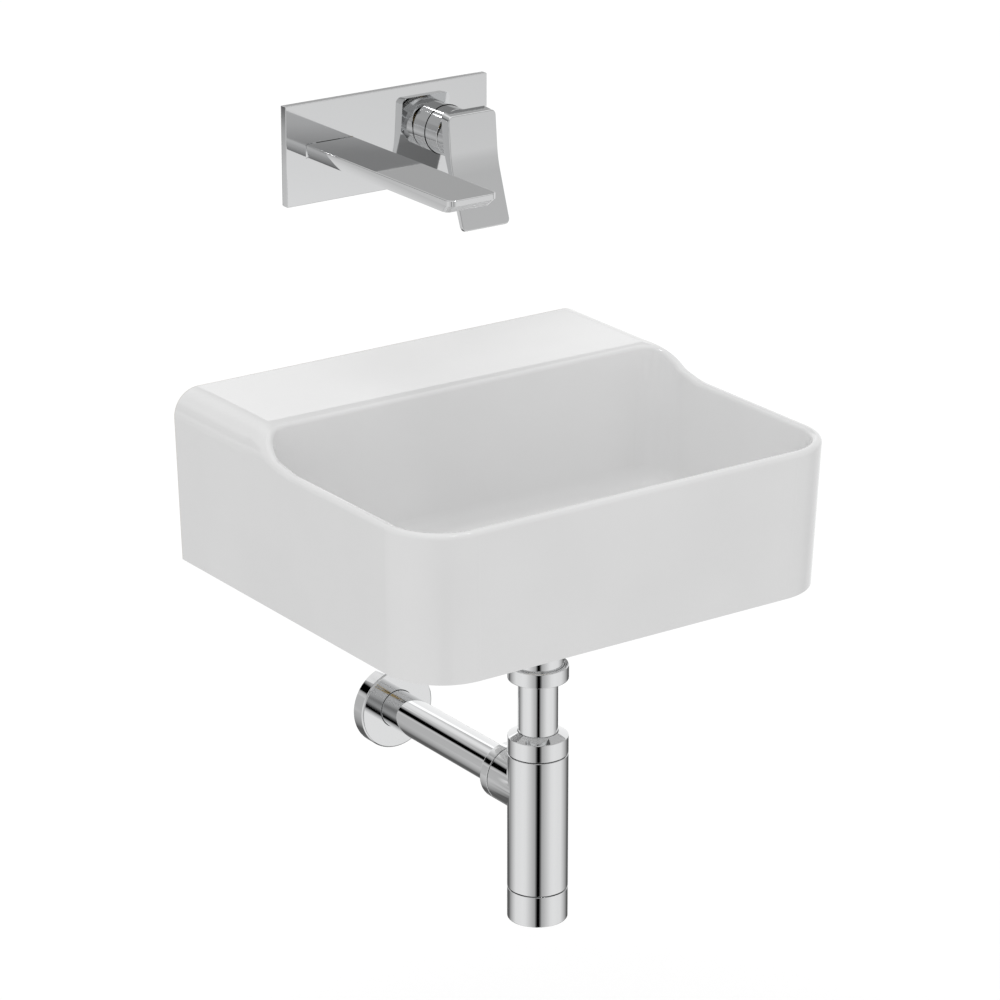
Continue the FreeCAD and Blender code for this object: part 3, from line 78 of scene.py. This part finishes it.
def emptyMaterial(name):
    material = bpy.data.materials.new(name)
    material.use_nodes = True
    tree = material.node_tree
    tree.nodes.remove(tree.nodes["Principled BSDF"])
    return material, tree, tree.nodes["Material Output"].inputs["Surface"]


def addNode(tree, kind, settings=None, **attributes):
    node = tree.nodes.new(kind)
    for key, value in attributes.items():
        setattr(node, key, value)
    for socket, value in (settings or {}).items():
        node.inputs[socket].default_value = value
    return node


def objectCoords(tree):
    return addNode(tree, "ShaderNodeTexCoord").outputs["Object"]


def alongAxis(tree, vector, axis):
    split = addNode(tree, "ShaderNodeSeparateXYZ")
    tree.links.new(vector, split.inputs[0])
    return split.outputs[axis]


def objectNoise(tree, scale, detail, roughness=0.5, distortion=0.0):
    noise = addNode(tree, "ShaderNodeTexNoise",
                    {"Scale": scale, "Detail": detail, "Roughness": roughness,
                     "Distortion": distortion})
    tree.links.new(objectCoords(tree), noise.inputs["Vector"])
    return noise.outputs["Fac"]


def remap(tree, source, low, high, fromLow=0.0, fromHigh=1.0):
    node = addNode(tree, "ShaderNodeMapRange",
                   {"From Min": fromLow, "From Max": fromHigh, "To Min": low, "To Max": high})
    tree.links.new(source, node.inputs["Value"])
    return node.outputs["Result"]


def maths(tree, operation, first, second=None, clamp=False):
    # the second is a socket or a number
    node = addNode(tree, "ShaderNodeMath", operation=operation, use_clamp=clamp)
    tree.links.new(first, node.inputs[0])
    if isinstance(second, float):
        node.inputs[1].default_value = second
    elif second is not None:
        tree.links.new(second, node.inputs[1])
    return node.outputs[0]


def colourBetween(tree, source, darker, lighter, fromLow=0.35, fromHigh=0.65):
    ramp = addNode(tree, "ShaderNodeValToRGB")
    for element, position, colour in zip(ramp.color_ramp.elements, (fromLow, fromHigh),
                                         (darker, lighter)):
        element.position = position
        element.color = (*colour, 1.0)
    tree.links.new(source, ramp.inputs["Fac"])
    return ramp.outputs["Color"]


def greyRamp(tree, source, stops, low, high):
    # a ramp whose stops are given in the source's own units, from low to high
    ramp = addNode(tree, "ShaderNodeValToRGB")
    elements = ramp.color_ramp.elements
    while len(elements) < len(stops):
        elements.new(0.5)
    for element, (position, grey) in zip(elements, stops):
        element.position = (position - low) / (high - low)
        element.color = (grey, grey, grey, 1.0)
    tree.links.new(remap(tree, source, 0.0, 1.0, low, high), ramp.inputs["Fac"])
    return ramp.outputs["Color"]


def mixColour(tree, factor, first, second, blend="MIX"):
    # the factor is a socket or a number, the second a socket, a grey or a colour
    mix = addNode(tree, "ShaderNodeMix", data_type="RGBA", blend_type=blend)
    if isinstance(factor, float):
        mix.inputs["Factor"].default_value = factor
    else:
        tree.links.new(factor, mix.inputs["Factor"])
    tree.links.new(first, mix.inputs["A"])
    if isinstance(second, float):
        mix.inputs["B"].default_value = (second, second, second, 1.0)
    elif isinstance(second, tuple):
        mix.inputs["B"].default_value = (*second, 1.0)
    else:
        tree.links.new(second, mix.inputs["B"])
    return mix.outputs["Result"]


def addBump(tree, socket, source, strength, distance):
    bump = addNode(tree, "ShaderNodeBump", {"Strength": strength, "Distance": distance})
    tree.links.new(source, bump.inputs["Height"])
    tree.links.new(bump.outputs["Normal"], socket)
    return bump


glaze = {
    "light": (0.845, 0.845, 0.845),
    "pooled": (0.82, 0.82, 0.82),
    "raw": (0.70, 0.68, 0.64),         # the ground, unglazed back that goes against the wall
    "rawEdge": (-0.0012, -0.0004),     # where the glaze gives way to it, in Y
    "rawRoughness": 0.75,
    "roughness": (0.025, 0.06),
    "ior": 1.5,
    "detail": 2.0,
    "patch": 9.0,                      # how large the glaze's slow waves are
    "waveStrength": 0.35,
    "waveHeight": 0.00012,
    "peel": 320.0,                     # fine orange peel of the fired glaze
    "peelStrength": 0.2,
    "peelHeight": 0.00001,
}


def makeGlaze():
    material, tree, shader = newMaterial("glazedClay", {"IOR": glaze["ior"]})
    slow = objectNoise(tree, glaze["patch"], glaze["detail"])
    fine = objectNoise(tree, glaze["peel"], glaze["detail"])
    raw = remap(tree, alongAxis(tree, objectCoords(tree), "Y"), 0.0, 1.0, *glaze["rawEdge"])
    white = colourBetween(tree, slow, glaze["pooled"], glaze["light"])
    tree.links.new(mixColour(tree, raw, white, glaze["raw"]), shader.inputs["Base Color"])
    rough = addNode(tree, "ShaderNodeMix", {"B": glaze["rawRoughness"]})
    tree.links.new(raw, rough.inputs["Factor"])
    tree.links.new(remap(tree, fine, *glaze["roughness"]), rough.inputs["A"])
    tree.links.new(rough.outputs["Result"], shader.inputs["Roughness"])
    waves = addBump(tree, shader.inputs["Normal"], slow, glaze["waveStrength"],
                    glaze["waveHeight"])
    addBump(tree, waves.inputs["Normal"], fine, glaze["peelStrength"], glaze["peelHeight"])
    return material


polish = {
    "colour": (0.775, 0.78, 0.785),
    "roughness": (0.025, 0.06),
    "smudge": 26.0,                    # faint smudges that change the gloss
    "smudgeDetail": 5.0,
    "smudgeEdge": 0.6,
    "smudgeBend": 0.4,
    "smudgeSpan": (0.3, 0.7),
    "ripple": 60.0,                    # the polisher's waviness
    "rippleStrength": 0.05,
    "rippleHeight": 0.00002,
}


def makeChrome():
    material, tree, shader = newMaterial("chromePlate", {
        "Base Color": (*polish["colour"], 1.0), "Metallic": 1.0})
    smudges = objectNoise(tree, polish["smudge"], polish["smudgeDetail"], polish["smudgeEdge"],
                          polish["smudgeBend"])
    tree.links.new(remap(tree, smudges, *polish["roughness"], *polish["smudgeSpan"]),
                   shader.inputs["Roughness"])
    ripple = objectNoise(tree, polish["ripple"], 1.0)
    addBump(tree, shader.inputs["Normal"], ripple, polish["rippleStrength"],
            polish["rippleHeight"])
    return material


metals = {
    # slot: (name, colour, darker colour, roughness, scale of the marks, stretch of the marks)
    "brass": ("turnedBrass", (0.80, 0.62, 0.32), (0.66, 0.49, 0.24), (0.22, 0.38), 90.0,
              (1.0, 6.0, 6.0)),
    "steel": ("zincSteel", (0.66, 0.67, 0.68), (0.52, 0.53, 0.54), (0.28, 0.46), 120.0,
              (1.0, 1.0, 5.0)),
}
cutMarks = {"detail": 4.0, "strength": 0.15, "height": 0.00005}


def makeMetal(name, colour, darker, roughness, scale, stretch):
    # cut metal: colour and gloss change a little along fine turning marks
    material, tree, shader = newMaterial(name, {"Metallic": 1.0})
    stretched = addNode(tree, "ShaderNodeMapping", {"Scale": stretch})
    tree.links.new(objectCoords(tree), stretched.inputs["Vector"])
    noise = addNode(tree, "ShaderNodeTexNoise", {"Scale": scale, "Detail": cutMarks["detail"]})
    tree.links.new(stretched.outputs["Vector"], noise.inputs["Vector"])
    marks = noise.outputs["Fac"]
    tree.links.new(colourBetween(tree, marks, darker, colour), shader.inputs["Base Color"])
    tree.links.new(remap(tree, marks, *roughness), shader.inputs["Roughness"])
    addBump(tree, shader.inputs["Normal"], marks, cutMarks["strength"], cutMarks["height"])
    return material


thread = {
    "ringScale": 0.31416 / 0.0015,     # one ring for each 1.5 mm, the pitch of the studs
    "depth": 0.0008,
    # painted shade: the roots between the rings are darker, as shade falls in them
    "root": (0.30, 0.30, 0.31),
    "crest": (0.68, 0.69, 0.70),
    "crestFrom": 0.7,                  # share of a ring's height from which it is all crest
    "roughness": (0.28, 0.44),
    "grain": 240.0,
    "grainDetail": 3.0,
}


def makeThreaded():
    # zinc plated rod with a metric thread along the wall's normal, as fine rings, with painted
    # shade darkening the roots between them
    material, tree, shader = newMaterial("threadedSteel", {"Metallic": 1.0})
    wave = addNode(tree, "ShaderNodeTexWave", {"Scale": thread["ringScale"], "Distortion": 0.0},
                   wave_type="BANDS", bands_direction="Y", wave_profile="TRI")
    tree.links.new(objectCoords(tree), wave.inputs["Vector"])
    rings = wave.outputs["Fac"]
    tree.links.new(colourBetween(tree, rings, thread["root"], thread["crest"], 0.0,
                                 thread["crestFrom"]), shader.inputs["Base Color"])
    grain = objectNoise(tree, thread["grain"], thread["grainDetail"])
    tree.links.new(remap(tree, grain, *thread["roughness"]), shader.inputs["Roughness"])
    addBump(tree, shader.inputs["Normal"], rings, 1.0, thread["depth"])
    return material


mouldings = {
    # slot: (name, colour, darker colour, roughness, scale of the grain, height of the grain)
    "black_rubber": ("blackRubber", (0.022, 0.022, 0.023), (0.014, 0.014, 0.015), (0.45, 0.65),
                     700.0, 0.00004),
    "grey_foam": ("greyFoam", (0.16, 0.16, 0.165), (0.08, 0.08, 0.085), (0.7, 0.9),
                  900.0, 0.0002),
    "white_plastic": ("whitePlastic", (0.78, 0.78, 0.77), (0.72, 0.72, 0.71), (0.32, 0.45),
                      500.0, 0.00003),
    "disc_ceramic": ("discCeramic", (0.82, 0.80, 0.76), (0.76, 0.74, 0.70), (0.15, 0.25),
                     400.0, 0.00001),
}
mouldedSkin = {"ior": 1.48, "detail": 4.0, "edge": 0.6, "strength": 0.3}


def makeMoulded(name, colour, darker, roughness, scale, height):
    # moulded plastic, rubber or foam: a fine even skin
    material, tree, shader = newMaterial(name, {"IOR": mouldedSkin["ior"]})
    grain = objectNoise(tree, scale, mouldedSkin["detail"], mouldedSkin["edge"])
    tree.links.new(colourBetween(tree, grain, darker, colour), shader.inputs["Base Color"])
    tree.links.new(remap(tree, grain, *roughness), shader.inputs["Roughness"])
    addBump(tree, shader.inputs["Normal"], grain, mouldedSkin["strength"], height)
    return material


finishes = {"glazed_clay": makeGlaze(), "chrome": makeChrome()}
finishes.update({slot: makeMetal(*values) for slot, values in metals.items()})
finishes.update({slot: makeMoulded(*values) for slot, values in mouldings.items()})

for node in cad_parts.values():
    slots = node.data.materials
    for index, material in enumerate(slots):
        slots[index] = finishes[material.name.split(".")[0]]
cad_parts["wall_studs"].data.materials[0] = makeThreaded()
print("materials made:", len(finishes) + 1)

easing = {
    "mergeWithin": 0.000002,
    "flatBelow": 0.3,                  # degrees between faces that are one flat face
    "easeAbove": 32,                   # degrees from which an edge is eased
    "sharpAbove": 48,                  # degrees from which an edge still shades as sharp
    "segments": 3,
    "sideWithin": 0.0001,              # how near a side's limit an edge counts as on it
    "pieces": {
        # node: (body it rides on, width of the eased edge in metres, which edges)
        "tap_plate": ("fixed", 0.0005, "border"),
        "spout": ("fixed", 0.0006, "clearOfWall"),
        "aerator_housing": ("fixed", 0.0002, "all"),
        "cartridge_sleeve": ("fixed", 0.0003, "all"),
        "lever_handle": ("lever", 0.0005, "all"),
        "trap_inlet_nut": ("fixed", 0.0004, "all"),
        "trap_top_cap": ("fixed", 0.0006, "all"),
        "trap_bottle": ("fixed", 0.0005, "all"),
        "trap_arm_nut": ("fixed", 0.0005, "all"),
        "trap_cup": ("cup", 0.0006, "all"),
        "wall_flange": ("flange", 0.0004, "all"),
    },
}


def edgesToEase(shape, which):
    edges = [edge for edge in shape.edges if len(edge.link_faces) == 2
             and edge.calc_face_angle() > math.radians(easing["easeAbove"])]
    if which == "all":
        return edges
    reach = [[vert.co[axis] for vert in shape.verts] for axis in range(3)]
    near = easing["sideWithin"]
    if which == "clearOfWall":         # not those of the end that stands against the plate
        back = max(reach[1]) - near
        return [edge for edge in edges if max(vert.co.y for vert in edge.verts) < back]
    sides = [(axis, limit) for axis in (0, 2) for limit in (min(reach[axis]), max(reach[axis]))]
    return [edge for edge in edges if any(
        all(abs(vert.co[axis] - limit) < near for vert in edge.verts) for axis, limit in sides)]


def makeEased(node, body, width, which):
    # the piece's own shape with its sharp edges rounded a little, as polished pieces have them
    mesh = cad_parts[node].data.copy()
    mesh.name = node + "_eased"
    shape = bmesh.new()
    shape.from_mesh(mesh)
    bmesh.ops.remove_doubles(shape, verts=shape.verts, dist=easing["mergeWithin"])
    bmesh.ops.dissolve_limit(shape, angle_limit=math.radians(easing["flatBelow"]),
                             verts=shape.verts, edges=shape.edges)
    bmesh.ops.bevel(shape, geom=edgesToEase(shape, which), offset=width, offset_type="OFFSET",
                    segments=easing["segments"], profile=0.5, affect="EDGES",
                    clamp_overlap=True, material=-1)
    bmesh.ops.recalc_face_normals(shape, faces=shape.faces)
    for face in shape.faces:
        face.smooth = True
    shape.to_mesh(mesh)
    shape.free()
    if "custom_normal" in mesh.attributes:
        mesh.attributes.remove(mesh.attributes["custom_normal"])
    mesh.set_sharp_from_angle(angle=math.radians(easing["sharpAbove"]))
    piece = linkObject(node + "_eased", mesh)
    weighted = piece.modifiers.new("evenNormals", "WEIGHTED_NORMAL")
    weighted.keep_sharp = True
    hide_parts(node)
    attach(piece, body)


for node, values in easing["pieces"].items():
    makeEased(node, *values)
print("eased chrome pieces made:", len(easing["pieces"]))

plugSpring = {
    "turns": 4,
    "wireRadius": 0.00045,
    "wireSides": 12,
    "stepsPerTurn": 24,
    "pressedShare": 0.2,               # what is left of its height with the plug clicked down
}


def makeSpring():
    # the coil inside the click cartridge, in the room that the solid sleeve holds for it
    low, high = (Vector(corner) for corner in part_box("plug_spring"))
    wire = plugSpring["wireRadius"]
    middle = (low + high) / 2
    steps = plugSpring["turns"] * plugSpring["stepsPerTurn"]
    rise = (high.z - low.z - 2 * wire) / steps
    start = Matrix.Translation((high.x - wire, middle.y, low.z + wire))
    shape = bmesh.new()
    bmesh.ops.create_circle(shape, cap_ends=False, segments=plugSpring["wireSides"], radius=wire,
                            matrix=start @ Matrix.Rotation(math.radians(90), 4, "X"))
    bmesh.ops.spin(shape, geom=shape.verts[:] + shape.edges[:], cent=(middle.x, middle.y, 0.0),
                   axis=(0.0, 0.0, 1.0), dvec=(0.0, 0.0, rise), steps=steps, use_merge=False,
                   angle=math.radians(360 * plugSpring["turns"]))
    bmesh.ops.holes_fill(shape, edges=[edge for edge in shape.edges if edge.is_boundary],
                         sides=0)
    bmesh.ops.recalc_face_normals(shape, faces=shape.faces)
    for face in shape.faces:
        face.smooth = len(face.verts) == 4
    piece = finishShape("plug_spring_coil", shape, finishes["steel"])
    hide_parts("plug_spring")
    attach(piece, "fixed")
    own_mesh(piece)


makeSpring()
print("plug spring made:", plugSpring["turns"], "turns")

studio = {
    "worldLight": 0.76,
    "floorLevel": -0.785,              # the rim of such a basin hangs about 0.83 m up
    "floorSize": 40.0,
    "floorColour": 0.8,
    "floorLift": 0.30,                 # what the camera and the metal see on top of the lit floor
    "sunLight": 0.55,
    "sunAngle": 50.0,
    "sunTurn": (28.0, 0.0, -52.0),
}


def seenMask(tree):
    # one for rays from the camera, or from metal and glass, that show the background
    path = addNode(tree, "ShaderNodeLightPath").outputs
    seen = maths(tree, "ADD", path["Is Camera Ray"], path["Is Glossy Ray"], clamp=True)
    return maths(tree, "ADD", seen, path["Is Transmission Ray"], clamp=True)


def makeWorld():
    world = bpy.data.worlds.new("studioWorld")
    bpy.context.scene.world = world
    world.use_nodes = True
    tree = world.node_tree
    background = tree.nodes["Background"]
    background.inputs["Color"].default_value = (1.0, 1.0, 1.0, 1.0)
    tree.links.new(remap(tree, seenMask(tree), studio["worldLight"], 1.0),
                   background.inputs["Strength"])


def makeFloor():
    shape = bmesh.new()
    bmesh.ops.create_grid(shape, x_segments=1, y_segments=1, size=studio["floorSize"] / 2,
                          matrix=Matrix.Translation((0.0, 0.0, studio["floorLevel"])))
    material, tree, surface = emptyMaterial("paleFloor")
    grey = studio["floorColour"]
    diffuse = addNode(tree, "ShaderNodeBsdfDiffuse", {"Color": (grey, grey, grey, 1.0)})
    lift = addNode(tree, "ShaderNodeEmission")
    tree.links.new(remap(tree, seenMask(tree), 0.0, studio["floorLift"]),
                   lift.inputs["Strength"])
    both = addNode(tree, "ShaderNodeAddShader")
    tree.links.new(diffuse.outputs[0], both.inputs[0])
    tree.links.new(lift.outputs[0], both.inputs[1])
    tree.links.new(both.outputs[0], surface)
    floor = finishShape("floor", shape, material)


def makeSun():
    lamp = bpy.data.lights.new("softSun", "SUN")
    lamp.energy = studio["sunLight"]
    lamp.angle = math.radians(studio["sunAngle"])
    sun = linkObject("softSun", lamp)
    sun.rotation_euler = [math.radians(turn) for turn in studio["sunTurn"]]
    sun.visible_glossy = False


def makeGlow(name):
    material, tree, surface = emptyMaterial(name)
    glow = addNode(tree, "ShaderNodeEmission")
    tree.links.new(glow.outputs[0], surface)
    return material, tree, glow


def reflectedOnly(thing):
    # softboxes and cards round the object light nothing: only gloss shows them
    thing.visible_camera = False
    thing.visible_diffuse = False
    thing.visible_shadow = False


tent = {
    # a wall of softboxes and dark cards round the object: each ring is (angle, grey), and the
    # same on both sides of the dark card, which stands at angle nothing. The greys here and on
    # the panels follow brightness read in the photograph's chrome, smoothed, and fit
    # that view alone: plain softboxes can take their place
    "centre": (0.0, -0.2, 0.0),
    "radius": 1.1,
    "facets": 96,
    "low": -0.78,
    "high": 1.30,
    "turn": 122.5,                     # where on the wall angle nothing is
    "lowRing": ((0, 0.0), (4, 0.0), (8, 0.15), (13, 0.46), (25, 0.62), (36, 0.76), (47, 0.89),
                (60, 0.93), (92, 0.88), (105, 0.70), (118, 0.50), (130, 0.30), (138, 0.12),
                (157, 0.12), (168, 0.24), (180, 0.29)),
    "middleRing": ((0, 0.90), (5, 0.76), (9, 0.62), (13, 0.28), (17, 0.36), (25, 0.70),
                   (60, 0.93), (90, 0.88), (104, 0.54), (114, 0.54), (122, 0.78), (136, 0.95),
                   (148, 1.0), (180, 1.05)),
    "highRing": ((0, 0.52), (30, 0.50), (50, 0.30), (92, 0.28), (104, 0.45), (124, 0.45),
                 (138, 0.88), (150, 0.95), (162, 0.60), (170, 0.44), (180, 0.43)),
    "frontLow": (-0.54, -0.14),        # heights where one ring gives way to the next
    "rearLow": (-0.56, -0.50),
    "frontHigh": (0.575, 0.605),
    "rearHigh": (0.44, 0.49),
    "rearStart": (90.0, 111.6),        # angles where front gives way to rear
    "fadeSpan": (-0.3, 0.6),
    "middleFade": ((-0.3, 1.0), (-0.1, 0.87), (0.1, 0.78), (0.27, 0.68), (0.6, 0.60)),
}


def tentAngle(tree, fromCentre):
    # degrees from the dark card, the same to the left and the right
    turned = addNode(tree, "ShaderNodeMapping",
                     {"Rotation": (0.0, 0.0, math.radians(tent["turn"]))})
    tree.links.new(fromCentre, turned.inputs["Vector"])
    sweep = addNode(tree, "ShaderNodeTexGradient", gradient_type="RADIAL")
    tree.links.new(turned.outputs[0], sweep.inputs["Vector"])
    away = maths(tree, "ABSOLUTE", maths(tree, "SUBTRACT", sweep.outputs["Fac"], 0.5))
    return maths(tree, "MULTIPLY", away, 360.0)


def makeTent():
    low, high = tent["low"], tent["high"]
    across, along, up = tent["centre"]
    shape = bmesh.new()
    bmesh.ops.create_cone(shape, segments=tent["facets"], radius1=tent["radius"],
                          radius2=tent["radius"], depth=high - low, cap_ends=True,
                          matrix=Matrix.Translation((across, along, up + (low + high) / 2)))
    top = [face for face in shape.faces if face.calc_center_median().z > high - 0.01]
    bmesh.ops.delete(shape, geom=top, context="FACES_ONLY")
    material, tree, glow = makeGlow("reflectionTent")
    offset = addNode(tree, "ShaderNodeVectorMath", operation="SUBTRACT")
    offset.inputs[1].default_value = tent["centre"]
    tree.links.new(objectCoords(tree), offset.inputs[0])
    fromCentre = offset.outputs[0]
    angle = tentAngle(tree, fromCentre)
    height = alongAxis(tree, fromCentre, "Z")
    rear = remap(tree, angle, 0.0, 1.0, *tent["rearStart"])
    steps = [mixColour(tree, rear, remap(tree, height, 0.0, 1.0, *tent["front" + level]),
                       remap(tree, height, 0.0, 1.0, *tent["rear" + level]))
             for level in ("Low", "High")]
    lowGrey, middleGrey, highGrey = [greyRamp(tree, angle, tent[ring], 0.0, 180.0)
                                     for ring in ("lowRing", "middleRing", "highRing")]
    fade = mixColour(tree, rear, greyRamp(tree, height, tent["middleFade"], *tent["fadeSpan"]),
                     1.0)
    faded = mixColour(tree, 1.0, middleGrey, fade, "MULTIPLY")
    lower = mixColour(tree, steps[0], lowGrey, faded)
    tree.links.new(mixColour(tree, steps[1], lower, highGrey), glow.inputs["Color"])
    reflectedOnly(finishShape("reflectionTent", shape, material))


panels = {
    # name: (heading from +Y towards +X, distance, width, brightness, heights and their shares)
    "rearSoftbox": (26.0, 1.0, 1.0, 1.55,
                    ((0.305, 0.75), (0.32, 0.85), (0.45, 0.85), (0.465, 0.75))),
    "rearBar": (-32.0, 1.06, 0.50, 1.0,
                ((-0.07, 0.66), (0.0, 0.60), (0.04, 0.42), (0.075, 0.0), (0.26, 0.0),
                 (0.33, 0.40), (0.45, 0.62))),
}


def makePanel(name, heading, distance, width, brightness, shares):
    # an upright panel inside the tent whose glow changes with height
    low, high = shares[0][0], shares[-1][0]
    angle = math.radians(heading)
    outward = Vector((math.sin(angle), math.cos(angle), 0.0))
    centre = Vector(tent["centre"]) + outward * distance + Vector((0.0, 0.0, (low + high) / 2))
    place = Matrix.Translation(centre) @ outward.to_track_quat("Z", "Y").to_matrix().to_4x4()
    shape = bmesh.new()
    bmesh.ops.create_grid(shape, x_segments=1, y_segments=1, size=0.5,
                          matrix=place @ Matrix.Diagonal((width, high - low, 1.0, 1.0)))
    material, tree, glow = makeGlow(name)
    height = alongAxis(tree, objectCoords(tree), "Z")
    tree.links.new(greyRamp(tree, height, shares, low, high), glow.inputs["Color"])
    glow.inputs["Strength"].default_value = brightness
    reflectedOnly(finishShape(name, shape, material))


sparks = {
    # small bright discs overhead, which show as white lights on the sleeve and the spout's root
    "radius": 0.03,
    "sides": 24,
    "glow": 30.0,
    "facing": (0.1, -0.15, 0.0),
    "places": ((0.08, -0.85, 0.91), (0.22, -0.62, 1.05), (-0.14, -0.72, 0.80)),
}


def makeSpark(name, place):
    turn = (Vector(place) - Vector(sparks["facing"])).to_track_quat("Z", "Y")
    shape = bmesh.new()
    bmesh.ops.create_circle(shape, cap_ends=True, segments=sparks["sides"],
                            radius=sparks["radius"],
                            matrix=Matrix.Translation(place) @ turn.to_matrix().to_4x4())
    material, tree, glow = makeGlow(name)
    glow.inputs["Strength"].default_value = sparks["glow"]
    reflectedOnly(finishShape(name, shape, material))


makeWorld()
makeFloor()
makeSun()
makeTent()
for name, values in panels.items():
    makePanel(name, *values)
for number, place in enumerate(sparks["places"]):
    makeSpark("spark" + str(number), place)
print("studio set: world, floor, sun, tent,", len(panels), "panels and", len(sparks["places"]),
      "sparks")

view = {
    "place": (-1.76517, -2.68427, 1.10034),
    "turn": (70.0, 0.0, -35.0),
    "lens": 149.05,
    "sensor": 36.0,
    "reach": 100.0,
}

lens = bpy.data.cameras.new("photoCamera")
lens.lens = view["lens"]
lens.sensor_width = view["sensor"]
lens.clip_end = view["reach"]
camera = linkObject("photoCamera", lens)
camera.location = view["place"]
camera.rotation_euler = [math.radians(turn) for turn in view["turn"]]
bpy.context.scene.camera = camera
bpy.context.scene.view_settings.view_transform = "Standard"
print("camera set")

bpy.context.view_layer.update()
